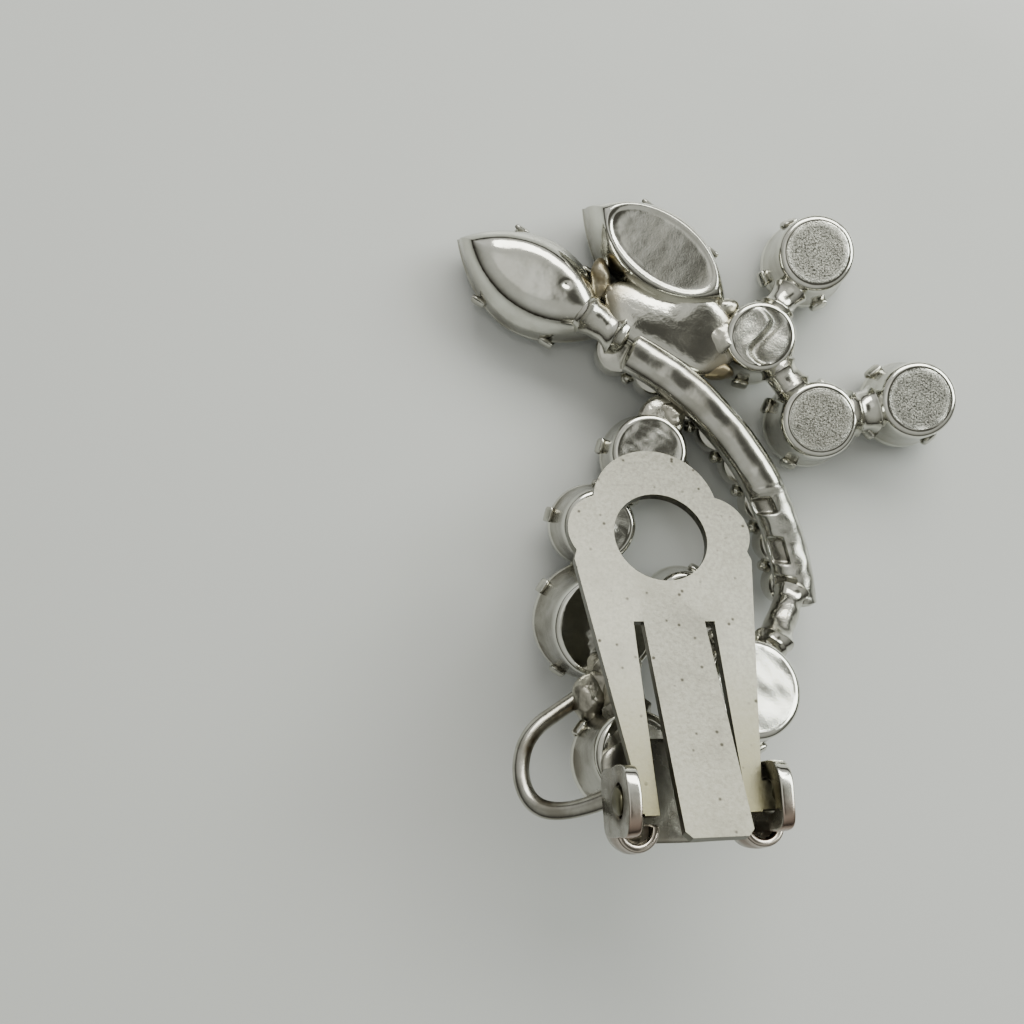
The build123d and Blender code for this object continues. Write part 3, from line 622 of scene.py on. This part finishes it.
def stem_bar():
    """The bar's skin, with pockets and ribs pressed into its upper side."""
    angle = np.radians(np.linspace(*STEM_ANGLES, BAR_ROWS))
    line = arc_points(angle, STEM_RADIUS, BAR_Z)
    outward = np.stack((np.cos(angle), np.sin(angle), 0 * angle), axis=1)
    outward = np.concatenate((outward[:1], outward[:1], outward, outward[-1:], outward[-1:]))
    points = swept(line, outward, BAR_HALF_WIDTH, BAR_HALF_HEIGHT, 2.5, 64, 0.25)
    flat = points[..., :2] - STEM_CENTRE
    side = np.hypot(flat[..., 0], flat[..., 1]) - STEM_RADIUS
    degrees = np.degrees(np.arctan2(flat[..., 1], flat[..., 0]))
    upper = smooth_step(points[..., 2], 3.7, 4.1)
    sunk = 0 * degrees
    for pocket in POCKETS:
        slanted = degrees - pocket.angle + 1.2 * (side - pocket.side)
        inside = 1 - smooth_step(np.abs(slanted), 0.75 * pocket.half_angle, 1.25 * pocket.half_angle)
        inside = inside * (1 - smooth_step(np.abs(side - pocket.side), 0.8 * pocket.half_side,
                                           1.3 * pocket.half_side))
        sunk = sunk + pocket.depth * inside
    lower = 1 - smooth_step(degrees, LOWER_TO, LOWER_FROM)
    wavy = 0.09 * ripple(points, 2.4, 90) + 0.05 * ripple(points, 0.9, 91) * (0.4 + lower)
    drop = upper * (np.clip(sunk, -0.03, 1) - wavy + 0.05) + lower * upper * 0.10
    points = points - drop[..., None] * np.array((0, 0, 1))
    # The stem browns in its pockets and towards its upper end; the brown on the bar's lower sides is painted
    # shade.
    under = 1 - smooth_step(points[..., 2], 2.8, 3.5)
    brown = 1.6 * np.clip(sunk, 0, 1) + 0.5 * under + 0.35 * (1 - lower)
    return shell(points, tarnish=np.clip(brown, 0, 0.85), grain=0.25 * lower * upper)


def small_cups():
    """Eight short tubes with a cone shaped seat, one under the bar for each small stone."""
    profile = np.concatenate((
        ((0.0, 1.7),),
        rounded(((1.1, 1.7), (1.34, 1.6), (1.34, 0.1), (1.32, 0.0), (1.16, 0.0), (1.13, 0.1))),
        ((0.28, 0.95), (0.0, 0.95)),
    ))
    axes = cup_axes(0, 0)
    places = arc_points(SMALL_CUPS, STEM_RADIUS, SMALL_CUP_Z)
    return [shell(turned(profile, place, axes, 36), tarnish=0.25) for place in places]


def beads():
    """Small balls of metal between the cups, a half circle turned about the upright."""
    angle = np.linspace(0, np.pi, 11)
    profile = np.stack((0.35 * np.sin(angle), 0.46 * np.cos(angle)), axis=1)
    profile[[0, -1], 0] = 0
    between = (SMALL_CUPS[:-1] + SMALL_CUPS[1:]) / 2
    axes = cup_axes(0, 0)
    balls = []
    for side in (-1.0, 1.0):
        places = arc_points(between, STEM_RADIUS + side, SMALL_CUP_Z + 0.12)
        balls += [shell(turned(profile, place, axes, 16), tarnish=0.2) for place in places]
    return balls


stem = built("stem", [stem_bar()] + small_cups() + beads(), rhodium)

# %% [markdown]
# Soft solder ran between the cups and froze as waisted necks, thin webs and lumps. A neck could be a boolean
# fillet. A tube whose radius grows near both ends says the same, and always closes. Webs are pillows: their
# outline shrinks to a point above and below. All of them take a lumpy wobble.

# %% The solder
Neck = namedtuple("Neck", "x1 y1 z1 radius1 x2 y2 z2 radius2 clear1 clear2 rough")
NECKS = (
    Neck(6.10, 14.88, 2.9, 0.85, 2.97, 10.19, 2.9, 0.85, 2.3, 2.1, 0.3),
    Neck(2.97, 10.19, 2.9, 0.9, 6.27, 5.52, 2.9, 0.9, 2.1, 2.3, 0.4),
    Neck(6.50, 5.57, 2.7, 1.15, 11.50, 6.60, 2.7, 1.15, 2.0, 2.0, 0.2),
    Neck(-3.30, 3.75, 2.8, 0.85, -6.10, -0.43, 3.1, 0.85, 2.2, 2.1, 0.3),
    Neck(-6.10, -0.43, 3.2, 0.95, -5.88, -5.91, 4.2, 1.0, 2.1, 2.9, 0.4),
    Neck(-5.88, -5.91, 4.2, 0.95, -1.38, -4.73, 3.3, 0.85, 2.9, 1.8, 0.3),
    Neck(-1.38, -4.73, 3.3, 0.9, 1.47, -8.68, 6.8, 1.05, 1.8, 2.7, 0.4),
    Neck(4.80, -3.90, 3.6, 0.85, 2.20, -8.20, 6.7, 0.95, 0.4, 2.2, 0.3),
    Neck(-5.70, -6.50, 4.3, 1.25, -4.80, -11.30, 9.0, 1.05, 2.4, 1.8, 1.0),
    Neck(-9.72, 13.52, 3.1, 0.95, -4.60, 10.20, 3.0, 1.1, 3.6, 0.5, 0.3),
)
WEBS = (
    (2.6, 3.75, 0.3, ((-5.90, 12.60), (-4.70, 13.40), (-0.60, 12.60), (2.00, 11.20), (1.60, 8.60),
                      (-0.60, 8.10), (-3.80, 9.50), (-5.60, 10.60))),
    (2.8, 3.6, 0.8, ((-4.40, 4.90), (-2.90, 7.30), (-1.00, 6.00), (-2.20, 3.60))),
)
SUNK = 0.45
Lump = namedtuple("Lump", "x y z radius_x radius_y radius_z rough flux")
LUMPS = (
    Lump(-6.9, -9.5, 6.7, 0.9, 1.3, 0.9, 1.0, 0.0), Lump(-5.9, -8.8, 6.4, 1.2, 0.9, 0.9, 1.0, 0.0),
    Lump(-2.2, 5.7, 3.3, 1.0, 0.9, 0.5, 0.9, 0.1), Lump(0.8, 10.1, 3.3, 0.9, 1.0, 0.55, 0.5, 0.1),
    Lump(4.3, 8.0, 2.9, 0.9, 0.8, 0.6, 0.6, 0.2), Lump(4.6, 12.6, 2.9, 0.8, 0.9, 0.55, 0.4, 0.2),
    Lump(9.0, 6.1, 2.9, 0.8, 1.0, 0.6, 0.3, 0.0), Lump(2.9, -6.9, 5.6, 0.9, 0.8, 0.7, 0.5, 0.0),
    Lump(-6.0, 13.6, 2.9, 0.55, 1.2, 0.7, 0.6, 0.9), Lump(-5.4, 12.6, 3.0, 0.6, 0.7, 0.6, 0.5, 0.6),
    Lump(0.7, 8.3, 3.0, 0.9, 0.5, 0.5, 0.6, 0.7), Lump(1.2, 12.0, 2.9, 0.7, 0.5, 0.5, 0.4, 0.3),
)


def solder_neck(neck, seed):
    """A tube whose radius grows by a decaying exponential of the distance past each cup's wall."""
    start, end = np.array(neck[:3]), np.array(neck[4:7])
    length = np.linalg.norm(end - start)
    share = np.linspace((neck.clear1 - SUNK) / length, 1 - (neck.clear2 - SUNK) / length, 60)
    line = start + share[:, None] * (end - start)
    past_first = share * length - neck.clear1
    past_last = (1 - share) * length - neck.clear2
    flare = np.exp(-np.abs(past_first) / 0.3) + np.exp(-np.abs(past_last) / 0.3)
    radius = neck.radius1 + share * (neck.radius2 - neck.radius1)
    radius = radius * (0.92 + 0.30 * np.minimum(flare, 1))
    points = swept(line, (0, 0, 1), radius, radius, 2.0, 32, 0.3)
    points = wobbled(points, 1.6, 0.12, seed)
    points = wobbled(points, 0.7, 0.10 * neck.rough, seed + 5)
    return shell(points, solder=neck.rough, tarnish=0.25 * neck.rough)


def solder_web(low, high, rough, corners, seed):
    """A thin pillow over a rounded outline, with a lumpy wobble."""
    outline = rounded_loop(corners)
    points = pillow(outline, low, high)
    points = wobbled(points, 4.5, 0.5, seed)
    points = wobbled(points, 1.8, 0.07, seed + 3)
    points = wobbled(points, 0.8, 0.03 * rough, seed + 5)
    edge = smooth_step(np.linalg.norm(points[..., :2] - outline.mean(axis=0), axis=-1), 2.2, 3.6)
    return shell(points, solder=rough, flux=0.6 * edge)


def solder_lump(lump, seed):
    """A ball stretched along each axis, then wobbled."""
    angle = np.linspace(0, np.pi, 24)
    profile = np.stack((np.sin(angle), np.cos(angle)), axis=1)
    profile[[0, -1], 0] = 0
    ball = turned(profile, (0, 0, 0), cup_axes(0, 0), 36)
    points = ball * np.array(lump[3:6]) + np.array(lump[:3])
    points = wobbled(points, 1.3, 0.2, seed)
    return shell(wobbled(points, 0.5, 0.08 * lump.rough, seed + 5), solder=lump.rough, flux=lump.flux,
                 tarnish=0.35 * lump.rough)


drops = [solder_neck(neck, 100 + 10 * number) for number, neck in enumerate(NECKS)]
drops += [solder_web(*web, 300 + 10 * number) for number, web in enumerate(WEBS)]
drops += [solder_lump(lump, 400 + 10 * number) for number, lump in enumerate(LUMPS)]
solder = built("solder", drops, rhodium)

# %% [markdown]
# A wire loop stands out at the clip's side. A curve object with a bevel would make it, but a circle carried
# along its rounded route gives the mask as well: browner on the loop's inner side.

# %% The wire loop
WIRE_RADIUS = 0.47
LOOP_MIDDLE = np.array((-7.9, -12.3, 8.4))
WIRE_POINTS = (
    (-5.90, -8.60, 5.9), (-8.20, -10.00, 6.6), (-10.20, -11.20, 7.4), (-10.70, -13.20, 8.2),
    (-9.90, -14.70, 9.1), (-8.00, -14.60, 9.9), (-5.50, -13.35, 10.75),
)


def wire_loop():
    """A round section along the route, its radius uneven by a few hundredths."""
    line = rounded(WIRE_POINTS, 4)
    radius = WIRE_RADIUS - 0.02 + 0.03 * ripple(line, 2.5, 500)
    points = swept(line, (0, 0, 1), radius, radius, 2.0, 28, 0.2)
    inner = np.linalg.norm(points - LOOP_MIDDLE, axis=-1)
    inner = smooth_step(-(inner - inner.mean(axis=1, keepdims=True)), -0.1, 0.35)
    return shell(points, tarnish=0.4 * inner + 0.6)


side_wire = built("side_wire", [wire_loop()], rhodium)

# %% [markdown]
# The clip's base is a stamped bracket: a small tray soldered to two cups, curled edges in front, and
# an ear at each side with a round hole for the paddle's lugs. An ear is a ring in both directions, round the
# hole and round its own section, so one closed grid makes it with its hole, and no boolean is needed.

# %% The clip's own axes, and its base
PIVOT = np.array((-2.30, -12.87, 13.45))
PADDLE_SLOPES = (0.196, 0.547)
PADDLE_TURN = np.radians(4.56)
BRACKET_TIP = np.radians(10.0)
PIVOT_HEIGHT = 2.4
EAR_INNER = 3.3
EAR_THICK = 0.65
EAR_RISE = 1.6
EAR_HALF_WIDTH = 1.6
EAR_HOLE = 0.78
TRAY_THICK = 0.5
TRAY_FRONT = -1.95
TRAY_BACK = 2.95
CURLS = ((-2.8, -1.25), (3.4, -1.25))
CURL_RADIUS = 1.1
CURL_WALL = 0.45
CURL_RISE = 1.5


def clip_axes(tip):
    """Across, ahead and up of the clip, tipped by an angle about the hinge line."""
    up = unit((*PADDLE_SLOPES, 1))
    ahead = unit(np.cross(up, (np.cos(PADDLE_TURN), np.sin(PADDLE_TURN), 0)))
    across = np.cross(ahead, up)
    up = np.cos(tip) * up - np.sin(tip) * ahead
    return np.array((across, np.cross(up, across), up))


BASE = clip_axes(BRACKET_TIP)
TRAY = PIVOT - PIVOT_HEIGHT * BASE[2]


def on_tray(points):
    """Points in the tray's own axes, carried into place."""
    return TRAY + points @ BASE


def tray_plate():
    """The tray and the floors of its curls, as pillows with a tight edge."""
    side = EAR_INNER + EAR_THICK - 0.05
    middle = (TRAY_FRONT + TRAY_BACK) / 2
    outline = rounded_loop(((-side, TRAY_FRONT), (0, TRAY_FRONT), (side, TRAY_FRONT), (side, middle),
                            (side, TRAY_BACK), (0, TRAY_BACK), (-side, TRAY_BACK), (-side, middle)), 4)
    plates = [pillow(outline, -TRAY_THICK, 0, 0.12, 30)]
    turn = np.linspace(0, 2 * np.pi, 48, endpoint=False)
    disc = (CURL_RADIUS - 0.02) * np.stack((np.cos(turn), np.sin(turn)), axis=1)
    plates += [pillow(disc + np.array(place), -TRAY_THICK, 0, 0.15, 24) for place in CURLS]
    return [shell(wobbled(on_tray(plate), 2.0, 0.06, 520 + i), solder=0.25, tarnish=0.6)
            for i, plate in enumerate(plates)]


def curl(place, seed):
    """A wall on a half circle round the front of a place, a tall superellipse carried along it."""
    turn = np.linspace(np.pi * 0.97, np.pi * 2.03, 48)
    radius = CURL_RADIUS - CURL_WALL / 2
    x = place[0] + radius * np.cos(turn)
    y = place[1] + radius * np.sin(turn)
    line = on_tray(np.stack((x, y, np.full(48, (CURL_RISE - TRAY_THICK) / 2)), axis=1))
    half = (CURL_RISE + TRAY_THICK) / 2 - 0.02
    points = swept(line, BASE[2], half, CURL_WALL / 2, 4.5, 36, 0.12)
    height = (points - TRAY) @ BASE[2]
    return shell(wobbled(points, 1.8, 0.05, seed), tarnish=0.75 * (1 - smooth_step(height, 0.9, 1.4)),
                 copper=0.45 * smooth_step(height, -0.2, 0.6))


def ear(side):
    """A plate round its hole: from the hole's circle out to a rounded box, closed round its own section."""
    turn = np.linspace(0, 2 * np.pi, 96, endpoint=False)
    up = np.where(np.sin(turn) > 0, EAR_RISE, PIVOT_HEIGHT + TRAY_THICK)
    power = np.where(np.sin(turn) > 0, 3.4, 9.0)
    outer = np.abs(np.cos(turn) / EAR_HALF_WIDTH) ** power + np.abs(np.sin(turn) / up) ** power
    outer = outer ** (-1 / power)
    section = np.linspace(0, 2 * np.pi, 40, endpoint=False)
    share = np.sign(np.cos(section)) * np.abs(np.cos(section)) ** 0.16
    depth = np.sign(np.sin(section)) * np.abs(np.sin(section)) ** 0.42
    reach = (EAR_HOLE + outer)[:, None] / 2 + (outer - EAR_HOLE)[:, None] / 2 * share
    y = reach * np.cos(turn)[:, None]
    z = reach * np.sin(turn)[:, None]
    x = np.broadcast_to(side * (EAR_INNER + EAR_THICK / 2) + EAR_THICK / 2 * depth, y.shape)
    points = on_tray(np.stack((x, y, z + PIVOT_HEIGHT), axis=-1))
    rim = smooth_step(np.broadcast_to(share, y.shape), 0.86, 0.97)
    lower = 1 - smooth_step(y, -1.2, 0.6)
    # Painted shade with tarnish: both flat faces are browned dark while the rounded edge is left bright, and
    # the metal near the hole browns a little more.
    face = 1 - rim
    near_hole = 1 - smooth_step(reach, EAR_HOLE + 0.05, EAR_HOLE + 0.5)
    return shell(wobbled(points, 1.6, 0.07, 540), ring=True, copper=0.8 * rim * lower,
                 tarnish=0.8 * face + 0.2 * near_hole)


base_parts = tray_plate() + [curl(place, 530 + i) for i, place in enumerate(CURLS)]
base_parts += [ear(side) for side in (-1, 1)]
clip_base = built("clip_base", base_parts, rhodium)

for piece in (cup_backs, prongs, stem, solder, side_wire, clip_base):
    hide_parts("setting")
    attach(piece, "earring")

# %% [markdown]
# The paddle is stamped from spring sheet, and its outline with the lobes, the hole and the slots is already
# right in the frame. What stamping and barrel polishing add is a fine round on every edge, which is what
# catches the light. So the paddle is a copy of that mesh with its doubles merged and a small live bevel.

# %% The paddle and its peened lugs
EDGE_ROUND = 0.07 * MM
LUG_PLACE = 3.93


def paddle_plate():
    """A copy of the frame's paddle, its flat faces joined again, with rounded edges."""
    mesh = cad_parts["clip_paddle"].data.copy()
    mesh.materials.clear()
    mesh.materials.append(nickel)
    tidy = bmesh.new()
    tidy.from_mesh(mesh)
    bmesh.ops.remove_doubles(tidy, verts=tidy.verts, dist=10 * MERGE)
    bmesh.ops.dissolve_limit(tidy, angle_limit=np.radians(0.5), verts=tidy.verts, edges=tidy.edges)
    tidy.to_mesh(mesh)
    tidy.free()
    mesh.shade_smooth()
    mesh.set_sharp_from_angle(angle=np.radians(35))
    piece = bpy.data.objects.new("paddle_plate", mesh)
    bpy.context.scene.collection.objects.link(piece)
    bevel = piece.modifiers.new("rounded edges", "BEVEL")
    bevel.width = EDGE_ROUND
    bevel.segments = 3
    bevel.limit_method = "ANGLE"
    bevel.angle_limit = np.radians(35)
    bevel.harden_normals = True
    return piece


def lug_heads():
    """The flattened heads of the two lugs, just outside the ears, a low dome turned about the hinge line."""
    profile = rounded((
        (0.0, 0.22), (0.3, 0.22), (0.6, 0.12), (0.66, 0.0), (0.6, -0.12), (0.3, -0.5), (0.0, -0.5),
    ))
    clip = clip_axes(0)
    heads = []
    for side in (-1, 1):
        axes = (clip[1], clip[2], side * clip[0])
        centre = PIVOT + side * LUG_PLACE * clip[0]
        heads.append(shell(wobbled(turned(profile, centre, axes, 40), 0.9, 0.05, 600 + side), solder=0.2))
    return heads


paddle = paddle_plate()
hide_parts("clip_paddle")
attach(paddle, "paddle")
lugs = built("lug_heads", lug_heads(), nickel)
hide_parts("clip_paddle")
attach(lugs, "paddle")

# %% [markdown]
# The stones are cut glass, and the frame already holds them with their facets, so they only take the glass.

# %% The stones' finish
stones = [node for name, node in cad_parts.items() if "stone" in name]
for stone in stones:
    stone.data.materials.clear()
    stone.data.materials.append(glass)
print(len(stones), "stones in", glass.name)


# %% [markdown]
# The earring lies on a pale glazed surface that mirrors it softly. Metal shows the room more than itself, so
# the light is a large bright window side beyond the leaves, softer light from the left, and a dimmer ceiling.

# %% The floor
def glazed_floor():
    """Pale grey glaze, slightly uneven, that reflects softly."""
    material, tree, shader, place = new_material("pale_glazed_floor", IOR=1.5)
    tone = mixed(tree, noise(tree, place, 30.0, 2.0), linear("#C6C8C6"), linear("#CBCDCB"))
    tree.links.new(tone, shader.inputs["Base Color"])
    tree.links.new(ranged(tree, noise(tree, place, 5.0), 0.3, 0.7, 0.14, 0.20), shader.inputs["Roughness"])
    return material


FLOOR_HALF = 600 * MM
floor_mesh = bpy.data.meshes.new("floor")
floor_corners = FLOOR_HALF * np.array(((-1, -1, 0), (1, -1, 0), (1, 1, 0), (-1, 1, 0)))
floor_mesh.from_pydata(floor_corners.tolist(), [], [(0, 1, 2, 3)])
floor_mesh.materials.append(glazed_floor())
floor = bpy.data.objects.new("floor", floor_mesh)
bpy.context.scene.collection.objects.link(floor)


# %% The light
def soft_light(name, place_mm, aim_mm, size_mm, watts, colour):
    """A square area light that looks at a point."""
    data = bpy.data.lights.new(name, "AREA")
    data.shape = "RECTANGLE"
    data.size, data.size_y = size_mm[0] * MM, size_mm[1] * MM
    data.energy = watts
    data.color = linear(colour)[:3]
    light = bpy.data.objects.new(name, data)
    bpy.context.scene.collection.objects.link(light)
    light.location = np.array(place_mm) * MM
    way = Vector(np.array(aim_mm, float) - np.array(place_mm, float))
    light.rotation_euler = way.to_track_quat("-Z", "Y").to_euler()
    return light


DARK_WAY = (0.33, 0.12, 0.935)
BRIGHT_WAY = (-0.15, 0.20, 0.968)


def room():
    """The room by direction: dark low, pale high, bright beyond +Y, a dark and a bright patch overhead."""
    world = bpy.data.worlds.new("soft_room")
    world.use_nodes = True
    tree = world.node_tree
    coordinates = add(tree, "ShaderNodeTexCoord").outputs["Object"]
    way = add(tree, "ShaderNodeSeparateXYZ", {0: coordinates}).outputs
    colour = mixed(tree, ranged(tree, way["Z"], 0.10, 0.85, 0.0, 1.0), linear("#2A2620"), linear("#CBCCC5"))
    window = maths(tree, "MULTIPLY", ranged(tree, way["Y"], 0.25, 0.7, 0.0, 1.0),
                   ranged(tree, way["Z"], 0.1, 0.3, 0.0, 1.0))
    colour = mixed(tree, window, colour, linear("#E6E6E2"))
    toward = add(tree, "ShaderNodeVectorMath", {0: coordinates, 1: DARK_WAY}, operation="DOT_PRODUCT")
    dark = ranged(tree, toward.outputs["Value"], 0.945, 0.985, 0.0, 0.95)
    colour = mixed(tree, dark, colour, linear("#3F3D37"))
    toward = add(tree, "ShaderNodeVectorMath", {0: coordinates, 1: BRIGHT_WAY}, operation="DOT_PRODUCT")
    bright = ranged(tree, toward.outputs["Value"], 0.955, 0.985, 0.0, 1.0)
    colour = mixed(tree, bright, colour, linear("#FFFFF8"))
    background = tree.nodes["Background"]
    tree.links.new(colour, background.inputs["Color"])
    background.inputs["Strength"].default_value = 1.05
    bpy.context.scene.world = world


room()
soft_light("window", (60, 240, 200), (0, 0, 0), (260, 140), 1.0, "#FFFFF6")
soft_light("side", (240, 110, 180), (0, 0, 0), (200, 140), 0.8, "#FAFFF8")

# %% [markdown]
# The camera hung straight above a point left of the earring, and close, so the tall clip leans away from it.
# Its place and lens were solved from the photograph's own perspective.

# %% The camera
CAMERA = np.array((-11.0, 0.35, 59.0))
SENSOR_MM = 36.0
LENS_MM = 34.66
camera_data = bpy.data.cameras.new("camera")
camera_data.sensor_width = SENSOR_MM
camera_data.lens = LENS_MM
camera_data.clip_start = MM
camera = bpy.data.objects.new("camera", camera_data)
camera.location = (CAMERA - MIDDLE) * MM
bpy.context.scene.collection.objects.link(camera)
bpy.context.scene.camera = camera
